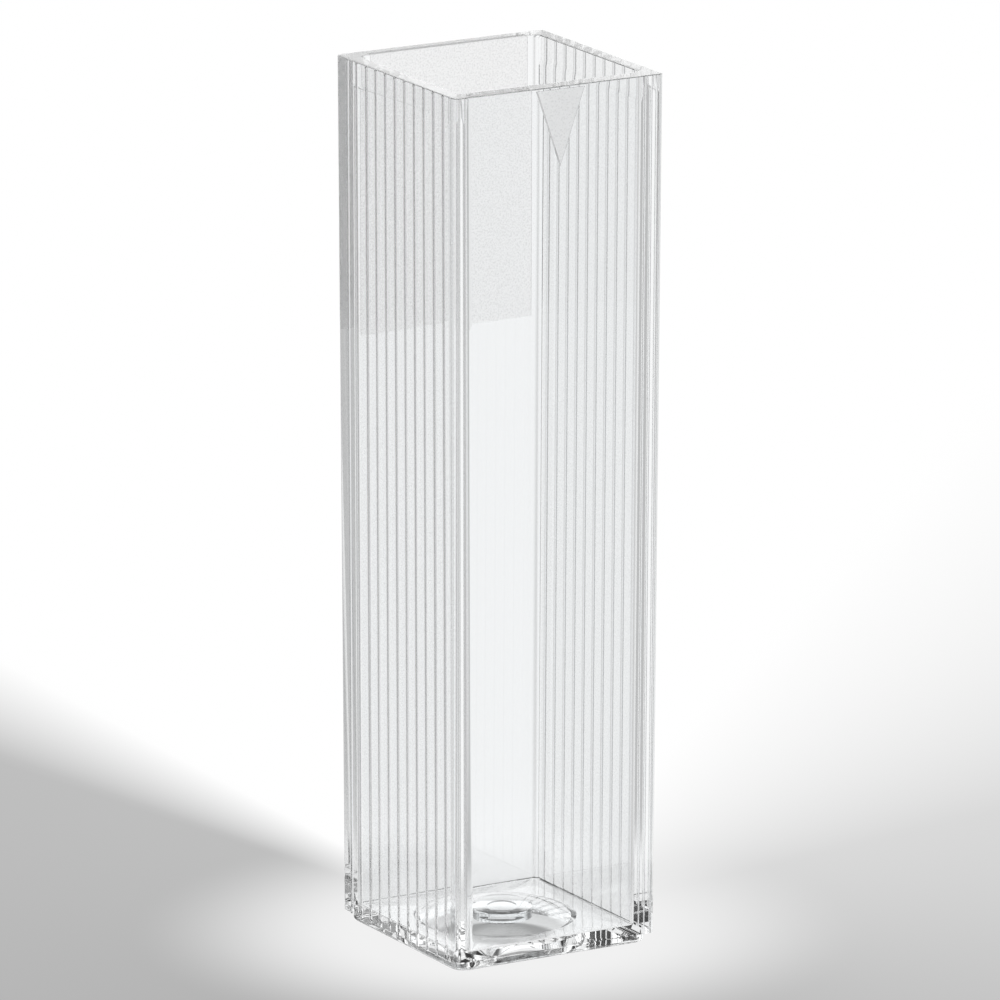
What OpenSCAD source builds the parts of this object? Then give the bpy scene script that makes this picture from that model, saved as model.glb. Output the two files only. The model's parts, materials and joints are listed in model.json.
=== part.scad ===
// Macro cuvette: a square, open-topped measuring cell moulded in one piece of clear plastic.
// Two opposite walls are windows, and the other two carry fine upright ribs for the fingers.
// Millimetres. +Z is up, and the origin is the centre of the resting face.
// The marked window faces -Y, the other window +Y, and the ribbed walls face -X and +X.

/* [Body] */
// Height from the table to the rim
height = 45; // [38:0.5:50]
// Outside width at the rim
rim_width = 12; // [11.9:0.05:12.5]
// Outside width at the foot of the walls
base_width = 11.6; // [11.5:0.05:11.9]
// Radius of the four upright outside edges
corner_radius = 0.3; // [0.15:0.05:0.4]
// Bevel round the outside edge of the rim
rim_bevel = 0.12; // [0.05:0.01:0.2]

/* [Cell] */
// Clear gap between the two windows, which is the light path
light_path = 10; // [9.8:0.01:10.1]
// Inside width between the ribbed walls at the mouth
mouth_width = 10.18; // [10.05:0.01:10.5]
// Inside width between the ribbed walls at the floor
floor_width = 9.8; // [9.6:0.01:10]
// Height of the cell floor above the table
floor_level = 0.9; // [0.8:0.05:1.4]
// Width across each wall of the bevel in the four upright inside corners
cell_bevel = 0.25; // [0.15:0.01:0.35]
// Bevel where the walls meet the floor
floor_bevel = 0.12; // [0.05:0.01:0.2]
// Bevel of the mouth on the ribbed walls
mouth_bevel = 0.15; // [0.05:0.01:0.2]
// Bevel of the mouth on the windows
window_bevel = 0.05; // [0.02:0.01:0.1]

/* [Mouth relief] */
// Depth below the rim of the shallow relief in the ribbed walls
relief_depth = 1.47; // [0.8:0.01:2]
// How far the relief is let into each ribbed wall
relief_step = 0.08; // [0.03:0.01:0.12]
// Height of the slope that closes the relief
relief_slope = 0.29; // [0.1:0.01:0.4]

/* [Ribs] */
// Ribs on each gripping wall
rib_count = 11; // [3:2:11]
// Distance from rib to rib
rib_pitch = 0.957; // [0.7:0.001:0.98]
// Radius of the rounded back of a rib
rib_radius = 0.14; // [0.12:0.01:0.22]
// How far a rib stands out of the wall
rib_height = 0.08; // [0.05:0.01:0.11]

/* [Frosted panel] */
// Length of the frosted panel inside the plain window, from the rim down
panel_length = 14.4; // [8:0.1:20]
// Width of the frosted panel
panel_width = 9.1; // [7:0.1:9.4]
// How far the panel is let into the window
panel_step = 0.05; // [0.02:0.01:0.1]
// Height of the slope that closes the panel
panel_slope = 0.2; // [0.1:0.01:0.4]

/* [Direction mark] */
// Width of the frosted arrowhead at the rim
mark_width = 2.8; // [1.5:0.1:4]
// Length of the arrowhead
mark_length = 4; // [2:0.1:6]
// How far the arrowhead stands out of the window
mark_height = 0.06; // [0.03:0.01:0.12]

/* [Foot] */
// Height of the foot below the walls
foot_height = 0.5; // [0.3:0.05:0.7]
// How far the foot stands back from the walls
foot_inset = 0.2; // [0.1:0.05:0.3]
// Radius of the foot's upright edges
foot_corner = 0.8; // [0.5:0.05:1.2]
// Radius of the foot's bottom edge
foot_edge = 0.2; // [0.1:0.05:0.25]

/* [Gate dome] */
// Radius of the shallow dome in the cell floor, which the gate recess below echoes
dome_radius = 3.8; // [3.6:0.05:4.2]
// How far the dome rises above the cell floor
dome_height = 0.85; // [0.7:0.05:1]
// Radius of the round recess at the underside
gate_radius = 3.45; // [2.8:0.05:3.6]
// How far the recess's side slopes in on its way up
gate_slant = 0.15; // [0.05:0.05:0.3]
// Height of the recess's side
gate_side = 0.35; // [0.2:0.05:0.45]
// How far the recess's domed roof rises above its side
gate_rise = 0.8; // [0.5:0.05:0.85]
// Radius of the disc left round the gate
gate_disc_radius = 1.5; // [1:0.05:2]
// Height of the disc's face above the table
gate_disc_level = 0.52; // [0.3:0.01:0.6]
// Radius of the trimmed gate stub
gate_stub_radius = 0.7; // [0.4:0.05:0.9]
// How far the stub stands down from the disc
gate_stub_height = 0.12; // [0.05:0.01:0.15]

/* [Hidden] */
// Outside draft, as the lean of each wall and its angle
wall_height = height - foot_height;
lean = (rim_width - base_width) / 2 / wall_height;
lean_angle = atan(lean);
// Draft of the two ribbed walls inside the cell; the windows' inner faces are upright
cell_depth = height - floor_level;
flat_width = light_path - 2 * cell_bevel;
cell_lean = (mouth_width - floor_width) / 2 / cell_depth;
cell_angle = atan(cell_lean);
foot_half = base_width / 2 - foot_inset;
gate_roof_radius = gate_radius - gate_slant;
big = 3 * height;
over = 1;
$fn = 96;

// Radius of the ball whose cap has a round edge of radius `r` and rises by `rise`
function bend_of(r, rise) = (r * r + rise * rise) / (2 * rise);

// A block on the +X side of a leaning plane that stands `half` out from the axis at z = 0
module beyond_wall(half, angle) {
    translate([half, 0, 0])
        rotate([0, angle, 0])
            translate([0, -big / 2, -big / 2])
                cube([big, big, big]);
}

// What a round upright edge of radius `r` leaves off the +X +Y corner of a leaning box
module beyond_edge(half_x, half_y, angle_x, angle_y, r) {
    tilt = [tan(angle_x), tan(angle_y)];
    translate([half_x - r / cos(angle_x), half_y - r / cos(angle_y), 0])
        rotate(a = atan(norm(tilt)), v = [-tilt[1], tilt[0], 0])
            difference() {
                translate([0, 0, -big / 2])
                    cube([2 * r, 2 * r, big]);
                translate([0, 0, -big / 2 - over])
                    cylinder(r = r, h = big + 2 * over);
            }
}

// Repeats what it is given at all four corners
module four_corners() {
    for (mx = [0, 1])
        for (my = [0, 1])
            mirror([mx, 0, 0])
                mirror([0, my, 0])
                    children();
}

// Outer form of the four walls, from the foot up to the rim
module outer_walls() {
    half = base_width / 2;
    translate([0, 0, foot_height])
        difference() {
            translate([-rim_width, -rim_width, 0])
                cube([2 * rim_width, 2 * rim_width, wall_height]);
            for (turn = [0 : 90 : 270])
                rotate([0, 0, turn])
                    beyond_wall(half, lean_angle);
            four_corners()
                beyond_edge(half, half, lean_angle, lean_angle, corner_radius);
        }
}

// One gripping wall's ribs, on the +X side
module rib_row() {
    first = -(rib_count - 1) / 2 * rib_pitch;
    intersection() {
        for (i = [0 : rib_count - 1])
            translate([base_width / 2 + rib_height - rib_radius, first + i * rib_pitch, foot_height])
                rotate([0, lean_angle, 0])
                    translate([0, 0, -over])
                        cylinder(r = rib_radius, h = wall_height + 2 * over);
        translate([0, -rim_width, foot_height])
            cube([rim_width, 2 * rim_width, wall_height]);
    }
}

// Arrowhead on the -Y window, its broad end at the rim and parallel to the leaning wall
module direction_mark() {
    rim_y = -rim_width / 2;
    translate([0, rim_y, height])
        rotate([lean_angle, 0, 0])
            rotate([90, 0, 0])
                translate([0, 0, -3 * mark_height])
                    linear_extrude(height = 4 * mark_height)
                        polygon([[-mark_width / 2, 0], [0, -mark_length], [mark_width / 2, 0]]);
}

// What the bevel takes off the outside edge of the rim
module beyond_rim() {
    for (turn = [0 : 90 : 270])
        rotate([0, 0, turn])
            translate([rim_width / 2 - rim_bevel, 0, height])
                rotate([0, 45, 0])
                    translate([-big / 2, -big / 2, 0])
                        cube([big, big, big]);
}

// Half of the foot's cross-section, out to `reach` from the middle
module foot_section(reach) {
    square([reach - foot_edge, foot_height]);
    translate([0, foot_edge])
        square([reach, foot_height - foot_edge]);
    translate([reach - foot_edge, foot_edge])
        circle(r = foot_edge);
}

// Low foot, set back all round, with round corners and a round bottom edge
module foot() {
    straight = 2 * (foot_half - foot_corner);
    for (turn = [0 : 90 : 270])
        rotate([0, 0, turn]) {
            rotate([90, 0, 0])
                linear_extrude(height = straight, center = true)
                    foot_section(foot_half);
            translate([straight / 2, straight / 2, 0])
                rotate_extrude()
                    foot_section(foot_corner);
        }
}

// What a bevel of width `b` leaves off the +X +Y inside corner, which leans with the ribbed wall
module beyond_corner(half_x, half_y, angle, b) {
    translate([half_x, half_y, 0])
        rotate([0, angle, 0])
            translate([-b / 2, -b / 2, 0])
                rotate([0, 0, 45])
                    translate([0, -big / 2, -big / 2])
                        cube([big, big, big]);
}

// Room inside the walls, from the domed floor up through the mouth
module cell() {
    half_x = floor_width / 2;
    half_y = light_path / 2;
    translate([0, 0, floor_level])
        difference() {
            translate([-rim_width, -half_y, 0])
                cube([2 * rim_width, light_path, cell_depth + over]);
            for (turn = [0, 180])
                rotate([0, 0, turn])
                    beyond_wall(half_x, cell_angle);
            four_corners()
                beyond_corner(half_x, half_y, cell_angle, cell_bevel);
            for (turn = [0, 180])
                rotate([0, 0, turn]) {
                    below_floor_bevel(half_x);
                    rotate([0, 0, 90])
                        below_floor_bevel(half_y);
                }
            dome_bend = bend_of(dome_radius, dome_height);
            translate([0, 0, dome_height - dome_bend])
                sphere(r = dome_bend);
        }
}

// The corner along one side of the floor that its bevel fills
module below_floor_bevel(half) {
    translate([half - floor_bevel, 0, 0])
        rotate([0, -45, 0])
            translate([-big / 2, -big / 2, -big])
                cube([big, big, big]);
}

// Shallow pocket in a wall, open at the mouth and closed below by a slope
// It is let `step` into a face that stands `half` out at z = 0 and leans by `angle`
module shallow_pocket(half, angle, width, length, step, slope) {
    start = half + tan(angle) * (cell_depth - length);
    translate([start, 0, height - length])
        difference() {
            rotate([0, angle, 0])
                translate([-1, -width / 2, -slope])
                    cube([1 + step, width, length + slope + over]);
            translate([step, 0, 0])
                rotate([0, -atan(slope / step), 0])
                    translate([-big / 2, -big / 2, -big])
                        cube([big, big, big]);
        }
}

// Reliefs in both ribbed walls and the frosted panel in the plain window
module pockets() {
    for (turn = [0, 180])
        rotate([0, 0, turn])
            shallow_pocket(floor_width / 2, cell_angle, flat_width, relief_depth, relief_step, relief_slope);
    rotate([0, 0, 90])
        shallow_pocket(light_path / 2, 0, panel_width, panel_length, panel_step, panel_slope);
}

// What the bevels take off the inside edges of the mouth
module mouth_bevels() {
    for (turn = [0, 180])
        rotate([0, 0, turn]) {
            above_bevel(mouth_width / 2 + relief_step, flat_width, mouth_bevel);
            rotate([0, 0, 90])
                above_bevel(light_path / 2, mouth_width - 2 * cell_bevel, window_bevel);
        }
}

// The space above a bevel on the mouth's edge, which stands `half` out from the axis
module above_bevel(half, width, bevel) {
    translate([half + bevel, 0, height])
        rotate([0, -45, 0])
            translate([-2 * bevel, -width / 2, 0])
                cube([2 * bevel + over, width, over]);
}

// Half of the gate recess's cross-section: a sloping side, a domed roof, the disc and the stub
module gate_section() {
    roof_bend = bend_of(gate_roof_radius, gate_rise);
    difference() {
        union() {
            polygon([[0, -over], [gate_radius, -over], [gate_radius, 0], [gate_roof_radius, gate_side], [0, gate_side]]);
            intersection() {
                translate([0, gate_side + gate_rise - roof_bend])
                    circle(r = roof_bend);
                translate([0, gate_side])
                    square([gate_radius, gate_rise + over]);
            }
        }
        translate([-over, gate_disc_level])
            square([over + gate_disc_radius, gate_rise + over]);
        translate([-over, gate_disc_level - gate_stub_height])
            square([over + gate_stub_radius, gate_rise + over]);
    }
}

// Round recess under the dome, which keeps the trimmed gate clear of the table
module gate_recess() {
    rotate_extrude()
        gate_section();
}

module cuvette_body() {
    difference() {
        union() {
            outer_walls();
            rib_row();
            rotate([0, 0, 180])
                rib_row();
            direction_mark();
            foot();
        }
        beyond_rim();
        cell();
        pockets();
        mouth_bevels();
        gate_recess();
    }
}

color([0.86, 0.92, 0.95, 0.45])
        cuvette_body();
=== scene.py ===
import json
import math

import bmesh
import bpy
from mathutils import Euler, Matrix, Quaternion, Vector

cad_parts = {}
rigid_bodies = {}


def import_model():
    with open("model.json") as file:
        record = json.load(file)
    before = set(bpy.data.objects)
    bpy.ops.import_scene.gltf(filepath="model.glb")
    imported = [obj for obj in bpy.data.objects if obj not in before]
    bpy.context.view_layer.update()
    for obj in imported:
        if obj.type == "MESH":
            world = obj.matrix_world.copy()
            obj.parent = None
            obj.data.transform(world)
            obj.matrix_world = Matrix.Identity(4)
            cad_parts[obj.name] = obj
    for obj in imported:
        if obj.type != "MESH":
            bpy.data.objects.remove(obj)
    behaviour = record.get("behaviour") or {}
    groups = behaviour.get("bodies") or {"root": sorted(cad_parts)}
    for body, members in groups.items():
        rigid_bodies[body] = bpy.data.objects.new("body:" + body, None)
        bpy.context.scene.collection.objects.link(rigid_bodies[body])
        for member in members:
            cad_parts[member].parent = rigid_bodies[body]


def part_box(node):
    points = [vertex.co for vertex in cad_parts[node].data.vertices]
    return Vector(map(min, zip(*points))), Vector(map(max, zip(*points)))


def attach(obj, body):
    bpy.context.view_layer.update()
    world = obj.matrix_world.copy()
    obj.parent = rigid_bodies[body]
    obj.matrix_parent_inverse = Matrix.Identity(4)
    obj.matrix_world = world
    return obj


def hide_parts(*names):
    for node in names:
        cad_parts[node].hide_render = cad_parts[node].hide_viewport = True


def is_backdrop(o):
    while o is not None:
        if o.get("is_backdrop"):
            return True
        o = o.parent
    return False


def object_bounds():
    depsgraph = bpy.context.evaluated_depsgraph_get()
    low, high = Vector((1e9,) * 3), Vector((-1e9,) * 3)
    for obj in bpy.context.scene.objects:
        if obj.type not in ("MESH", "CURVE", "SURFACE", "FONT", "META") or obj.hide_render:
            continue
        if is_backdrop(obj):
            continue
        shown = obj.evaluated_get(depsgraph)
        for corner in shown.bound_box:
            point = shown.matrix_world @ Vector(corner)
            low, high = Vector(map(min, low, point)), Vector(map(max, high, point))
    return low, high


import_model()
cad_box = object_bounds()

# %% [markdown]
# # A moulded cuvette
# A cuvette is a small square cell that holds a liquid in a beam of light. This one is a throw-away cell,
# injection-moulded in one shot of clear polystyrene, so it is one closed skin with plastic inside.
# The renderer bends light at every face of that skin, so the whole piece is built the way the mould
# makes it: a cavity gives the outside, and a core leaves the room inside.

MM = 0.001
scene = bpy.context.scene
low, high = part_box("cuvette_body")
print("CAD box in mm:", [round(v / MM, 3) for v in (*low, *high)])

# %% [markdown]
# ## Sizes
# The height comes from the imported model. The outside and the rest are the cuvette's own sizes in
# millimetres: walls that lean by a quarter of a degree so that the piece leaves its mould, a 10 mm gap
# between the windows, and shallow details a few hundredths of a millimetre deep.

# %% Sizes
height = round(high.z / MM, 2)
rim_half = 5.999
base_half = 5.8
foot_height = 0.5
corner_radius = 0.3
lean = (rim_half - base_half) / (height - foot_height)
rim_round = 0.12

window_half = 5.0
mouth_half = 5.09
floor_half = 4.9
floor_level = 0.9
cell_radius = 0.25
cell_ease = 0.3
floor_round = 0.12
mouth_round = 0.15
window_round = 0.05


def wall_at(z):
    """How far the outside of a wall stands from the axis at a height."""
    return base_half + lean * (z - foot_height)


print("draft of a wall in degrees:", round(math.degrees(math.atan(lean)), 3))

# %% [markdown]
# ## Rings and skins
# A mould maker turns and mills the steel level by level. The same idea works here: a ring is the
# outline at one height, with the same number of points whether it is square or round, and a skin joins
# ring after ring with faces. Round corners get many short steps, so no facet is wide enough to see.

# %% Rings and skins
CORNER_STEPS = 14
BEND_SHARE = 7 / 6
SIDE_STEPS = 16
RING_POINTS = 4 * (CORNER_STEPS + SIDE_STEPS)


def curve(a, b, c, share):
    """The point at a share of the way along a soft bend that starts at a, heads for b and ends at c."""
    return a.lerp(b, share).lerp(b.lerp(c, share), share)


def square_ring(half_x, half_y, radius, z, ease=None):
    """A square outline with round corners, anticlockwise from the +X +Y corner.
    With an ease, each corner is a chamfer instead, and a share of it on each side bends softly."""
    points = []
    for corner in range(4):
        turn = math.pi / 2 * corner
        sx = 1 if corner in (0, 3) else -1
        sy = 1 if corner in (0, 1) else -1
        middle = Vector((sx * (half_x - radius), sy * (half_y - radius), z))
        along = [Vector((math.cos(a), math.sin(a), 0)) for a in (turn, turn + math.pi / 2)]
        for step in range(CORNER_STEPS + 1):
            share = step / CORNER_STEPS
            angle = turn + math.pi / 2 * share
            bend = middle + radius * Vector((math.cos(angle), math.sin(angle), 0))
            if ease is not None:
                near, other = (0, 1) if share < 0.5 else (1, 0)
                side = middle + radius * along[near]
                on_wall = side - radius * ease * along[other]
                on_cut = side.lerp(middle + radius * along[other], ease)
                bend = curve(on_wall, side, on_cut, min(1, 2 * min(share, 1 - share) * BEND_SHARE))
            points.append(bend)
        end = points[-1]
        nsx = 1 if (corner + 1) % 4 in (0, 3) else -1
        nsy = 1 if (corner + 1) % 4 in (0, 1) else -1
        next_turn = turn + math.pi / 2
        start = Vector((nsx * (half_x - radius), nsy * (half_y - radius), z))
        start += radius * Vector((math.cos(next_turn), math.sin(next_turn), 0))
        if ease is not None:
            start += radius * ease * Vector((math.cos(turn), math.sin(turn), 0))
        for step in range(1, SIDE_STEPS):
            points.append(end.lerp(start, step / SIDE_STEPS))
    return points


def round_ring(radius, z):
    """A circle whose points line up with those of a square ring."""
    first = math.pi / 4 - 2 * math.pi / RING_POINTS * CORNER_STEPS / 2
    points = []
    for step in range(RING_POINTS):
        angle = first + 2 * math.pi * step / RING_POINTS
        points.append(Vector((radius * math.cos(angle), radius * math.sin(angle), z)))
    return points


def skin(name, rings):
    """A closed mesh object through the rings, from the lowest inside to the last, with both ends filled."""
    mesh = bmesh.new()
    rows = [[mesh.verts.new(point * MM) for point in ring] for ring in rings]
    for lower, upper in zip(rows, rows[1:]):
        for i in range(RING_POINTS):
            j = (i + 1) % RING_POINTS
            mesh.faces.new((lower[i], lower[j], upper[j], upper[i]))
    mesh.faces.new(list(reversed(rows[0])))
    mesh.faces.new(rows[-1])
    bmesh.ops.recalc_face_normals(mesh, faces=mesh.faces)
    return as_object(name, mesh)


def as_object(name, mesh):
    """A linked object from a bmesh, which is freed."""
    data = bpy.data.meshes.new(name)
    volume = mesh.calc_volume(signed=True) / MM**3
    mesh.to_mesh(data)
    mesh.free()
    made = bpy.data.objects.new(name, data)
    scene.collection.objects.link(made)
    print(name, "faces", len(data.polygons), "volume in mm3", round(volume, 1))
    return made


def quarter(steps):
    """Shares across and up a quarter circle, from flat to upright."""
    angles = [math.pi / 2 * step / steps for step in range(steps + 1)]
    return [(math.sin(a), 1 - math.cos(a)) for a in angles]


# %% [markdown]
# ## The outside
# The cavity shapes the foot, the leaning walls and the recess round the gate, where the plastic
# flowed in. The foot stands a little back from the walls and has soft edges, because it slides into
# racks and holders. The recess has a domed roof, with a small disc and a stub left by the gate in the
# middle of it, all held above the table so that the cuvette stands level on its foot.

# %% The outside
foot_back = 0.2
foot_half = base_half - foot_back
foot_corner = 0.8
foot_round = 0.2
gate_radius = 3.45
gate_roof_radius = 3.3
gate_roof = 0.35
gate_rise = 0.8
gate_disc_radius = 1.5
gate_disc_face = 0.52
gate_stub_radius = 0.7
gate_stub_face = 0.4
ROUND_STEPS = 8
DOME_STEPS = 24


def dome_rings(inner, outer, height, level):
    """Rings of a shallow ball-shaped dome from an inner radius out to its edge at a level."""
    bend = (outer**2 + height**2) / (2 * height)
    rings = []
    for step in range(DOME_STEPS + 1):
        radius = inner + (outer - inner) * step / DOME_STEPS
        rings.append(round_ring(radius, level + height - bend + math.sqrt(bend**2 - radius**2)))
    return rings


def outside_rings():
    rings = [
        round_ring(gate_stub_radius, gate_stub_face),
        round_ring(gate_stub_radius, gate_disc_face),
        round_ring(gate_disc_radius, gate_disc_face),
        *dome_rings(gate_disc_radius, gate_roof_radius, gate_rise, gate_roof),
        round_ring(gate_radius, 0),
    ]
    for across, up in quarter(ROUND_STEPS):
        back = foot_round * (1 - across)
        rings.append(square_ring(foot_half - back, foot_half - back, foot_corner - back, foot_round * up))
    rings.append(square_ring(foot_half, foot_half, foot_corner, foot_height))
    rings.append(square_ring(base_half, base_half, corner_radius, foot_height))
    rings.append(square_ring(rim_half, rim_half, corner_radius, height))
    return rings


body = skin("cuvette", outside_rings())

# %% [markdown]
# ## The grip ribs
# Eleven fine upright ribs on each of the two side walls keep the fingers off the windows. They repeat,
# so Geometry Nodes make them: one round bar, set along a row of points, turned half a turn for the other
# wall and joined to the body, so that only each bar's back stands out of the wall.

# %% The grip ribs
rib_count = 11
rib_pitch = 0.957
rib_radius = 0.14
rib_height = 0.08
RIB_STEPS = 72


def rib_tree():
    """Body and bars in, ribbed body out. Every size is a named input."""
    tree = bpy.data.node_groups.new("grip_ribs", "GeometryNodeTree")
    sockets = tree.interface
    sockets.new_socket("Body", in_out="INPUT", socket_type="NodeSocketGeometry")
    sockets.new_socket("Count", in_out="INPUT", socket_type="NodeSocketInt")
    for name in ("Pitch", "Radius", "Length", "Foot level", "Reach", "Lean"):
        sockets.new_socket(name, in_out="INPUT", socket_type="NodeSocketFloat")
    sockets.new_socket("Material", in_out="INPUT", socket_type="NodeSocketMaterial")
    sockets.new_socket("Ribbed body", in_out="OUTPUT", socket_type="NodeSocketGeometry")
    given = tree.nodes.new("NodeGroupInput").outputs

    def add(kind, settings=None, inputs=None):
        """A node with its settings made first, and then its values and links."""
        made = tree.nodes.new(kind)
        for key, value in (settings or {}).items():
            setattr(made, key, value)
        for key, value in (inputs or {}).items():
            if isinstance(value, bpy.types.NodeSocket):
                tree.links.new(value, made.inputs[key])
            else:
                made.inputs[key].default_value = value
        return made.outputs[0]

    def math_node(operation, a, b):
        return add("ShaderNodeMath", {"operation": operation}, {0: a, 1: b})

    def vector(**parts):
        return add("ShaderNodeCombineXYZ", None, parts)

    # One upright bar, as long as the wall is high, its axis at Reach from the middle of the body.
    bar = add(
        "GeometryNodeMeshCylinder",
        {"fill_type": "NGON"},
        {"Vertices": RIB_STEPS, "Radius": given["Radius"], "Depth": given["Length"]},
    )
    half = math_node("MULTIPLY", given["Length"], 0.5)
    place = vector(X=given["Reach"], Z=math_node("ADD", half, given["Foot level"]))
    bar = add("GeometryNodeTransform", None, {"Geometry": bar, "Translation": place})
    # It leans with the wall: each point moves out by its height over the wall's foot.
    at = add("ShaderNodeSeparateXYZ", None, {0: add("GeometryNodeInputPosition")}).node.outputs["Z"]
    out = math_node("MULTIPLY", math_node("SUBTRACT", at, given["Foot level"]), given["Lean"])
    bar = add("GeometryNodeSetPosition", None, {"Geometry": bar, "Offset": vector(X=out)})
    # A centred row of bars along one wall, and the same row turned half round for the other wall.
    span = math_node("MULTIPLY", math_node("SUBTRACT", given["Count"], 1), given["Pitch"])
    start = vector(Y=math_node("MULTIPLY", span, -0.5))
    row = add(
        "GeometryNodeMeshLine",
        None,
        {"Count": given["Count"], "Start Location": start, "Offset": vector(Y=given["Pitch"])},
    )
    bars = add("GeometryNodeInstanceOnPoints", None, {"Points": row, "Instance": bar})
    bars = add("GeometryNodeRealizeInstances", None, {"Geometry": bars})
    other = add("GeometryNodeTransform", None, {"Geometry": bars, "Rotation": Euler((0, 0, math.pi))})
    joined = tree.nodes.new("GeometryNodeMeshBoolean")
    joined.operation = "UNION"
    joined.solver = "EXACT"
    for part in (given["Body"], bars, other):
        tree.links.new(part, joined.inputs["Mesh 2"])
    whole = add("GeometryNodeRealizeInstances", None, {"Geometry": joined.outputs[0]})
    whole = add("GeometryNodeSetMaterial", None, {"Geometry": whole, "Material": given["Material"]})
    tree.links.new(whole, tree.nodes.new("NodeGroupOutput").inputs[0])
    return tree


def set_inputs(modifier, values):
    """Sets a modifier's inputs by their sockets' identifiers."""
    for socket in modifier.node_group.interface.items_tree:
        if socket.in_out == "INPUT" and socket.name in values:
            modifier[socket.identifier] = values[socket.name]


def baked(piece):
    """Turns what a piece's modifiers make into its own plain mesh."""
    graph = bpy.context.evaluated_depsgraph_get()
    made = bpy.data.meshes.new_from_object(piece.evaluated_get(graph), depsgraph=graph)
    made.name = piece.name
    piece.modifiers.clear()
    piece.data = made
    return piece


past = 1.0
modifier = body.modifiers.new("ribs", "NODES")
modifier.node_group = rib_tree()
rib_sizes = {
    "Count": rib_count,
    "Pitch": rib_pitch * MM,
    "Radius": rib_radius * MM,
    "Length": (height + past - foot_height) * MM,
    "Foot level": foot_height * MM,
    "Reach": (base_half + rib_height - rib_radius) * MM,
    "Lean": lean,
}
set_inputs(modifier, rib_sizes)
baked(body)
print("ribbed body:", len(body.data.polygons), "faces")

# %% [markdown]
# ## The rim's edge
# The bars were left too long at the top. A block that just clears them, with a rounded upper edge,
# keeps what lies inside it, so walls and ribs end in one softly rounded rim.

# %% The rim's edge
clear = rib_height + 0.02


def trim_rings():
    rings = [
        square_ring(base_half + clear, base_half + clear, corner_radius, -past),
        square_ring(base_half + clear, base_half + clear, corner_radius, foot_height),
        square_ring(rim_half + clear, rim_half + clear, corner_radius, height - rim_round - clear),
    ]
    for across, up in quarter(ROUND_STEPS):
        half = rim_half + clear - (rim_round + clear) * up
        rings.append(square_ring(half, half, corner_radius, height - (rim_round + clear) * (1 - across)))
    return rings


def combine(piece, tool, operation):
    """Joins, cuts or trims a piece with a tool, and removes the tool."""
    step = piece.modifiers.new(operation, "BOOLEAN")
    step.operation = operation
    step.solver = "EXACT"
    step.object = tool
    baked(piece)
    bpy.data.objects.remove(tool)
    print(piece.name, operation.lower(), "leaves", len(piece.data.polygons), "faces")


combine(body, skin("trim", trim_rings()), "INTERSECT")

# %% [markdown]
# ## The arrowhead
# A small frosted arrowhead stands on one window and shows which way the light should travel. It stands
# proud because it is milled into the steel of the cavity, open at the rim so that the piece slides out.

# %% The arrowhead
mark_width = 2.8
mark_length = 4.0
mark_height = 0.06
mark_slope = 0.08


def prism(name, front_outline, back_outline, depth):
    """A block between two outlines of points in the XZ plane, from y = 0 to y = depth."""
    mesh = bmesh.new()
    front = [mesh.verts.new((x * MM, 0, z * MM)) for x, z in front_outline]
    back = [mesh.verts.new((x * MM, depth * MM, z * MM)) for x, z in back_outline]
    mesh.faces.new(front)
    mesh.faces.new(list(reversed(back)))
    for i in range(len(front)):
        j = (i + 1) % len(front)
        mesh.faces.new((front[j], front[i], back[i], back[j]))
    bmesh.ops.recalc_face_normals(mesh, faces=mesh.faces)
    return as_object(name, mesh)


def arrow(grow):
    """The outline of the arrowhead, with its two long sides moved out by a distance."""
    half = math.atan(mark_width / 2 / mark_length)
    across, down = grow / math.cos(half), grow / math.sin(half)
    return [(-mark_width / 2 - across, 0), (0, -mark_length - down), (mark_width / 2 + across, 0)]


deep = 4
tip = prism("arrowhead", arrow(-mark_slope), arrow((deep - 1) * mark_slope), deep * mark_height)
stand = Matrix.Translation(Vector((0, -rim_half - mark_height, height - rim_round)) * MM)
tip.data.transform(stand @ Matrix.Rotation(math.atan(lean), 4, "X"))
combine(body, tip, "UNION")

# %% [markdown]
# ## The room inside
# The core is one polished block of steel. Its corners are cut at 45 degrees and its lower edges are
# rounded, so the floor meets the walls in a soft corner, and it flares a hair's breadth at the rim. Its
# end is hollow, so the cell's floor rises in a dome over the gate recess, and the floor keeps an even
# thickness there. The dome works as a lens for whoever looks at the gate from above.

# %% The room inside
FINE_STEPS = 5
relief_step = 0.08
dome_radius = 3.8
dome_height = 0.85
dome_middle = 0.1
least_radius = 0.02


def core_rings():
    rings = dome_rings(dome_middle, dome_radius, dome_height, floor_level)
    for across, up in quarter(ROUND_STEPS):
        back = floor_round * (1 - across)
        radius = max(cell_radius - back, least_radius)
        z = floor_level + floor_round * up
        rings.append(square_ring(floor_half - back, window_half - back, radius, z, cell_ease))
    for across, up in quarter(FINE_STEPS):
        z = height - mouth_round * (1 - across)
        half_x = mouth_half + (mouth_round + relief_step) * up
        rings.append(square_ring(half_x, window_half + window_round * up, cell_radius, z, cell_ease))
    rings.append(square_ring(half_x, window_half + window_round, cell_radius, height + past, cell_ease))
    return rings


combine(body, skin("core", core_rings()), "DIFFERENCE")

# %% [markdown]
# ## Relief and frosted panel
# Just below the rim the two ribbed walls step back a little, which guides a stopper or a stirrer in.
# The plain window has a frosted panel to write on, let in by a few hundredths of a millimetre.

# %% Relief and frosted panel
relief_depth = 1.47
relief_slope = 0.29
panel_length = 14.4
panel_width = 9.1
panel_step = 0.05
panel_slope = 0.2


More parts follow.
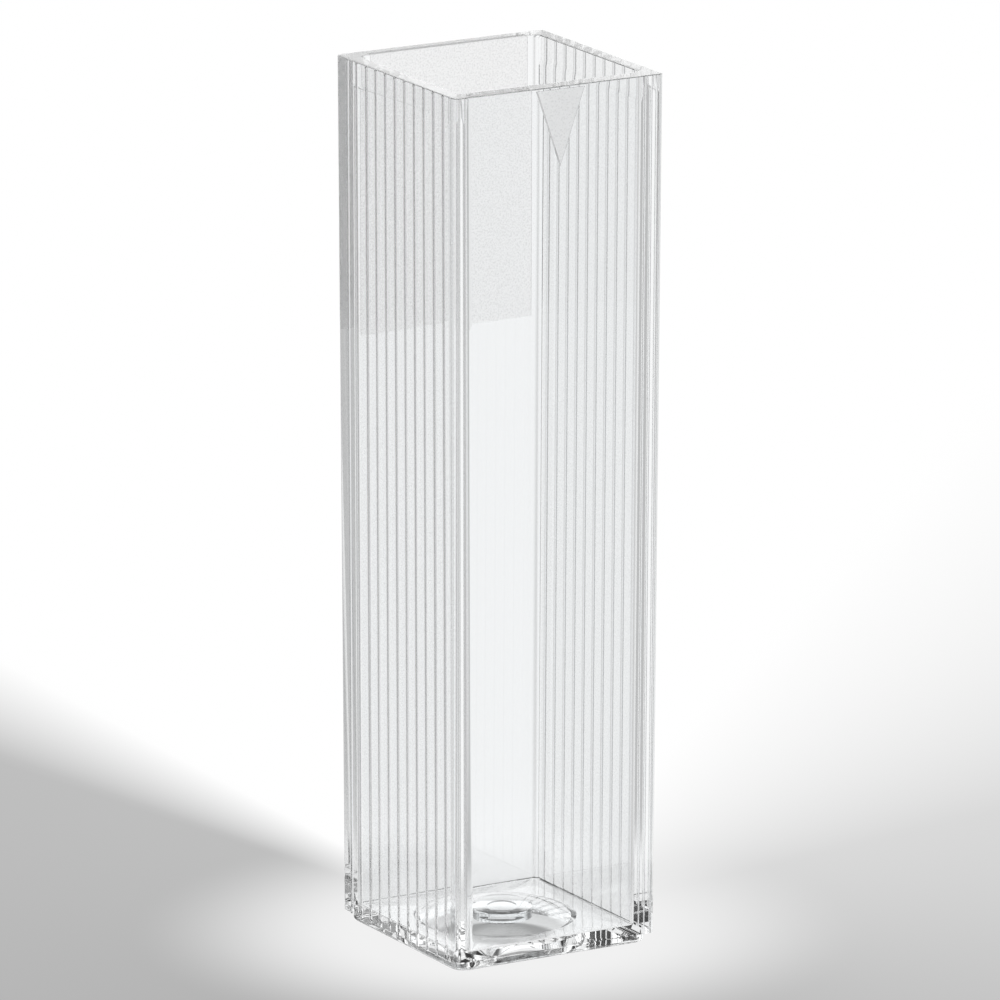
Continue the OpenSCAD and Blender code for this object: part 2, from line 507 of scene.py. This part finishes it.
def pocket(name, width, length, step, slope, face, tilt):
    """A shallow pocket in a wall on the +Y side, open at the mouth and closed below by a slope.
    The wall's inner face stands face out at the pocket's foot, and moves out by tilt as it rises."""
    inside = 0.5
    bottom = height - length
    top = height + past
    mesh = bmesh.new()
    profile = [
        (face - inside, bottom - slope * inside / step),
        (face, bottom),
        (face + step, bottom + slope),
        (face + step + tilt * (top - bottom), top),
        (face - inside, top),
    ]
    left = [mesh.verts.new(Vector((-width / 2, y, z)) * MM) for y, z in profile]
    right = [mesh.verts.new(Vector((width / 2, y, z)) * MM) for y, z in profile]
    mesh.faces.new(left)
    mesh.faces.new(list(reversed(right)))
    for i in range(len(profile)):
        j = (i + 1) % len(profile)
        mesh.faces.new((left[j], left[i], right[i], right[j]))
    bmesh.ops.recalc_face_normals(mesh, faces=mesh.faces)
    return as_object(name, mesh)


cell_lean = (mouth_half - floor_half) / (height - floor_level)
relief_face = floor_half + cell_lean * (height - relief_depth - floor_level)
relief_width = 2 * (window_half - cell_radius)
for side in (1, -1):
    relief = pocket("relief", relief_width, relief_depth, relief_step, relief_slope, relief_face, cell_lean)
    relief.data.transform(Matrix.Rotation(side * math.pi / 2, 4, "Z"))
    combine(body, relief, "DIFFERENCE")
panel = pocket("panel", panel_width, panel_length, panel_step, panel_slope, window_half, 0)
combine(body, panel, "DIFFERENCE")

# %% [markdown]
# ## Normals
# Large flat faces keep their own direction and only the small round edges blend, so the windows stay
# optically flat. A weighted normal does that: each corner follows the largest faces that meet there.

# %% Normals
SHARP = math.radians(20)
WELD = 0.0002 * MM


def finish_shading(piece):
    mesh = bmesh.new()
    mesh.from_mesh(piece.data)
    bmesh.ops.remove_doubles(mesh, verts=mesh.verts, dist=WELD)
    loose = [edge for edge in mesh.edges if edge.is_wire]
    bmesh.ops.delete(mesh, geom=loose, context="EDGES")
    for face in mesh.faces:
        face.smooth = True
    for edge in mesh.edges:
        edge.smooth = edge.is_manifold and edge.calc_face_angle() < SHARP
    print("open edges", sum(not e.is_manifold for e in mesh.edges))
    print("volume in mm3", round(mesh.calc_volume(signed=True) / MM**3, 1))
    mesh.to_mesh(piece.data)
    mesh.free()
    weigh = piece.modifiers.new("weigh", "WEIGHTED_NORMAL")
    weigh.mode = "FACE_AREA"
    weigh.keep_sharp = True
    weigh.weight = 100
    baked(piece)


finish_shading(body)

# %% [markdown]
# ## Shader maths
# A material is a tree of nodes, and a sum in it takes one node for each operator. The class below wraps
# a socket and adds those nodes when Python meets an operator, so a mask reads like the sum it is.

# %% Shader maths


class Sum:
    """A socket that takes part in Python sums: each operator adds one Math node to the socket's tree."""

    def __init__(self, tree, socket):
        self.tree = tree
        self.socket = socket

    def math(self, operation, *others):
        return node(self.tree, "ShaderNodeMath", {"operation": operation}, {}, self, *others)

    def __add__(self, other):
        return self.math("ADD", other)

    def __radd__(self, other):
        return self.math("ADD", other)

    def __mul__(self, other):
        return self.math("MULTIPLY", other)

    def __rmul__(self, other):
        return self.math("MULTIPLY", other)

    def __sub__(self, other):
        return self.math("SUBTRACT", other)

    def __rsub__(self, other):
        return node(self.tree, "ShaderNodeMath", {"operation": "SUBTRACT"}, {}, other, self)

    def __gt__(self, other):
        return self.math("GREATER_THAN", other)

    def __lt__(self, other):
        return self.math("LESS_THAN", other)

    def __abs__(self):
        return self.math("ABSOLUTE")

    def step(self, low, high, at_low=0.0, at_high=1.0):
        """Eases from at_low to at_high as this value goes from low to high."""
        settings = {"interpolation_type": "SMOOTHSTEP"}
        values = {"From Min": low, "From Max": high, "To Min": at_low, "To Max": at_high}
        return node(self.tree, "ShaderNodeMapRange", settings, values, self)


def node(tree, kind, settings, values, *first, out=0):
    """A node: its settings, then its named inputs, then its first inputs in order. Returns one output."""
    made = tree.nodes.new(kind)
    for key, value in settings.items():
        setattr(made, key, value)
    for key, value in [*enumerate(first), *values.items()]:
        plug = made.inputs[key]
        if isinstance(value, Sum):
            tree.links.new(value.socket, plug)
        else:
            plug.default_value = value
    return Sum(tree, made.outputs[out])


# %% [markdown]
# ## Where each finish lies
# The mould's steel isn't polished everywhere. The writing panel and the arrowhead were spark-eroded to a
# fine frost, and the grip walls carry a trace of the same grain. Each of those places follows from sizes
# that are already named, so a mask is a sum on the position of a point, in millimetres, and no picture
# has to be wrapped round the piece.

# %% Where each finish lies
plastic = bpy.data.materials.new("clear_polystyrene")
plastic.use_nodes = True
tree = plastic.node_tree
place = node(tree, "ShaderNodeTexCoord", {}, {}, out="Object")
mm = node(tree, "ShaderNodeVectorMath", {"operation": "SCALE"}, {"Scale": 1 / MM}, place)
x = node(tree, "ShaderNodeSeparateXYZ", {}, {}, mm, out="X")
y = node(tree, "ShaderNodeSeparateXYZ", {}, {}, mm, out="Y")
z = node(tree, "ShaderNodeSeparateXYZ", {}, {}, mm, out="Z")

wall = (z - foot_height) * lean + base_half
past_side = abs(x) - wall
past_window = -1 * y - wall
panel_near, panel_far, hair = 4.9, 5.4, 0.01
# grip marks the outer faces of the ribbed walls: grain, a little roughness and painted shade below
grip = past_side.step(-0.08, -0.04)
# rib marks the backs of the ribs, which only get painted shade below
rib = past_side.step(0.01, 0.05)
on_inner_face = (y > panel_near) * (panel_far > y)
# panel_mask marks the writing panel: frost, and painted shade below
panel_mask = on_inner_face * (panel_width / 2 + hair > abs(x)) * (z > height - panel_length)
mark_mask = past_window > mark_height - 0.005
# mark_edge marks the arrowhead's sloped sides, which get a painted dark outline below
mark_edge = past_window.step(0.003, 0.01) * (1 - mark_mask)
frost = panel_mask + mark_mask
print("finish masks take", len(tree.nodes), "nodes")

# %% [markdown]
# ## Clear polystyrene
# Polystyrene bends light strongly, with an index of 1.59, and a thick edge of it looks faintly blue. The
# frost scatters what passes and hides most of the blue, and a fine grain makes it uneven. The ribs, the
# arrowhead's edge, the ribbed walls and the writing panel also get painted shade, a colour darkened a
# little, so that they read as clearly as they do on the real thing. What changes over the piece goes to
# its colour and its roughness only.

# %% Clear polystyrene
grain_size = 0.09
grip_grain, frost_grain = 0.35, 0.8
# How much painted shade darkens the panel, the grip walls, the ribs and the arrowhead's edge
panel_painted_shade, grip_painted_shade, rib_painted_shade, mark_edge_painted_shade = 0.08, 0.06, 0.14, 0.45
panel_rough, mark_rough, grip_rough = 0.45, 0.3, 0.03
clear_tint, frosted_tint = (0.985, 0.993, 0.997, 1), (1, 1, 1, 1)

shader = tree.nodes["Principled BSDF"]
shader.inputs["IOR"].default_value = 1.59
shader.inputs["Transmission Weight"].default_value = 1.0
noise = {"Vector": mm, "Scale": 1 / grain_size, "Detail": 0.0, "Roughness": 0.5}
fine = node(tree, "ShaderNodeTexNoise", {"noise_dimensions": "3D"}, noise, out="Fac")
shade = 1 - (fine - 0.5) * (grip * grip_grain + frost * frost_grain)
# Painted shade: the colour is darker on the panel, the grip walls, the ribs and the arrowhead's edge
shade = shade * (1 - panel_painted_shade * panel_mask - grip_painted_shade * grip - rib_painted_shade * rib - mark_edge_painted_shade * mark_edge)
tint = node(tree, "ShaderNodeMix", {"data_type": "RGBA"}, {6: clear_tint, 7: frosted_tint, 0: frost}, out=2)
colour = node(tree, "ShaderNodeVectorMath", {"operation": "SCALE"}, {"Scale": shade}, tint)
rough = panel_mask * panel_rough + mark_mask * mark_rough + grip * grip_rough
tree.links.new(colour.socket, shader.inputs["Base Color"])
tree.links.new(rough.socket, shader.inputs["Roughness"])

# %% [markdown]
# ## One piece on one body
# The cuvette has no joints, so its only piece rides the root. It stands in for the whole CAD body.

# %% One piece on one body
body.data.materials.clear()
body.data.materials.append(plastic)
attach(body, "root")
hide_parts("cuvette_body")
print("materials on the piece:", [slot.name for slot in body.data.materials])

# %% [markdown]
# ## Camera
# A long lens from half a metre away keeps upright edges nearly parallel, as in a catalogue picture. It
# looks down by a little less than 15 degrees, at the corner between a window and a ribbed wall.

# %% Camera
azimuth, elevation, roll = math.radians(-30.18), math.radians(14.57), math.radians(0.08)
distance = 0.585
aim = Vector((0, 0, height / 2 * MM))
level_x, level_y = math.sin(azimuth), -math.cos(azimuth)
away = Vector((level_x * math.cos(elevation), level_y * math.cos(elevation), math.sin(elevation)))
camera = bpy.data.objects.new("camera", bpy.data.cameras.new("camera"))
scene.collection.objects.link(camera)
camera.location = aim + distance * away
turn = (-away).to_track_quat("-Z", "Y") @ Quaternion((0, 0, 1), roll)
camera.rotation_euler = turn.to_euler()
camera.data.lens = 418.5
camera.data.sensor_width = 36
camera.data.shift_x = 0.0012
camera.data.shift_y = 0.0008
camera.data.clip_start = 0.01
scene.camera = camera
scene.view_settings.view_transform = "Standard"
print("camera stands at", [round(v, 3) for v in camera.location])

# %% [markdown]
# ## Light table
# Clear plastic shows only what it bends towards the eye, so it is lit from behind and below. The
# cuvette stands on a table that glows softly: white behind the piece, and falling off to a pale grey at
# the sides and in front. The grey that the plastic gathers from the sides is what draws the edges and
# ribs of a clear thing. Round the foot the table is evenly bright, and a spot under the gate is shaded.
# The brightness for a direction is a colour ramp with its few stops spread once round.

# %% Light table
back = Vector((-math.sin(azimuth), math.cos(azimuth), 0))
right = Vector((math.cos(azimuth), math.sin(azimuth), 0))
white, left_grey, right_grey, front_grey = 1.0, 0.52, 0.7, 0.43
# Degrees to the right of straight behind the piece, and how bright the table is in that direction.
TABLE = [(-180, front_grey), (-40, left_grey), (-28, white), (15, white), (50, right_grey), (180, front_grey)]
foot_light, foot_light_from, foot_light_to = 0.88, 7 * MM, 19 * MM
gate_shade, gate_shade_from, gate_shade_to = 0.42, 2.4 * MM, 3.0 * MM
gate_shade_place = tuple(-1.9 * MM * back)
table_half, table_gap = 6, 0.02 * MM


def along(tree, place, direction):
    """How far a place lies in a direction."""
    settings = {"operation": "DOT_PRODUCT"}
    return node(tree, "ShaderNodeVectorMath", settings, {}, place, tuple(direction), out="Value")


def around(tree, place, levels):
    """The level for the direction of a place, from a ramp that runs once round."""
    angle = along(tree, place, right).math("ARCTAN2", along(tree, place, back))
    turned = angle * (0.5 / math.pi) + 0.5
    ramp = tree.nodes.new("ShaderNodeValToRGB")
    stops = ramp.color_ramp.elements
    for degrees, level in levels:
        if abs(degrees) == 180:
            stop = stops[0 if degrees < 0 else -1]
        else:
            stop = stops.new(degrees / 360 + 0.5)
        stop.color = (level, level, level, 1)
    tree.links.new(turned.socket, ramp.inputs[0])
    return Sum(tree, ramp.outputs[0])


table_mesh = bmesh.new()
bmesh.ops.create_grid(table_mesh, x_segments=1, y_segments=1, size=table_half)
bmesh.ops.translate(table_mesh, verts=table_mesh.verts, vec=(0, 0, -table_gap))
table = as_object("light_table", table_mesh)
glow = bpy.data.materials.new("light_table")
glow.use_nodes = True
tree = glow.node_tree
tree.nodes.clear()
place = node(tree, "ShaderNodeTexCoord", {}, {}, out="Object")
far = node(tree, "ShaderNodeVectorMath", {"operation": "LENGTH"}, {}, place, out="Value")
near = far.step(foot_light_from, foot_light_to, 1.0, 0.0)
spot = node(tree, "ShaderNodeVectorMath", {"operation": "DISTANCE"}, {}, place, gate_shade_place, out="Value")
shadow = spot.step(gate_shade_from, gate_shade_to, gate_shade, 1.0)
shaped = around(tree, place, TABLE) * (1 - near) + near * shadow * foot_light
light = node(tree, "ShaderNodeEmission", {}, {"Color": shaped, "Strength": 1.0})
end = tree.nodes.new("ShaderNodeOutputMaterial")
tree.links.new(light.socket, end.inputs["Surface"])
table.data.materials.append(glow)
table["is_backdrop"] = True

# %% [markdown]
# ## Studio
# The room is dark but for three soft lights: a low band behind the piece, a dim one on its right and a
# large one overhead. Light may turn many times inside clear plastic, so the renderer follows it for
# far more bounces than it would in an opaque thing.

# %% Studio
back_light, right_light, top_light, room = 1.3, 0.33, 1.35, 0.03
# Degrees as on the table, and how bright the low lights are from there.
STUDIO = [(-180, room), (-55, room), (-40, back_light), (40, back_light)]
STUDIO += [(55, right_light), (125, right_light), (145, room), (180, room)]
# Each is the sine of a height in degrees: where the low lights end, and where the top light starts.
low_full, low_end = 0.46, 0.54
top_start, top_full = 0.83, 0.89
BOUNCES = 48

studio = bpy.data.worlds.new("studio")
scene.world = studio
studio.use_nodes = True
tree = studio.node_tree
ray = node(tree, "ShaderNodeTexCoord", {}, {}, out="Generated")
up = along(tree, ray, (0, 0, 1))
low = around(tree, ray, STUDIO) * up.step(low_full, low_end, 1.0, 0.0)
level = low + up.step(top_start, top_full, 0.0, top_light)
tree.links.new(level.socket, tree.nodes["Background"].inputs["Color"])
scene.cycles.max_bounces = BOUNCES
scene.cycles.transmission_bounces = BOUNCES
scene.cycles.glossy_bounces = BOUNCES
print("light is followed for", BOUNCES, "bounces")

sizes = {"cad": cad_box, "visual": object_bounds()}
sizes = {name: [round(v, 7) for corner in box for v in corner] for name, box in sizes.items()}
print(sizes)
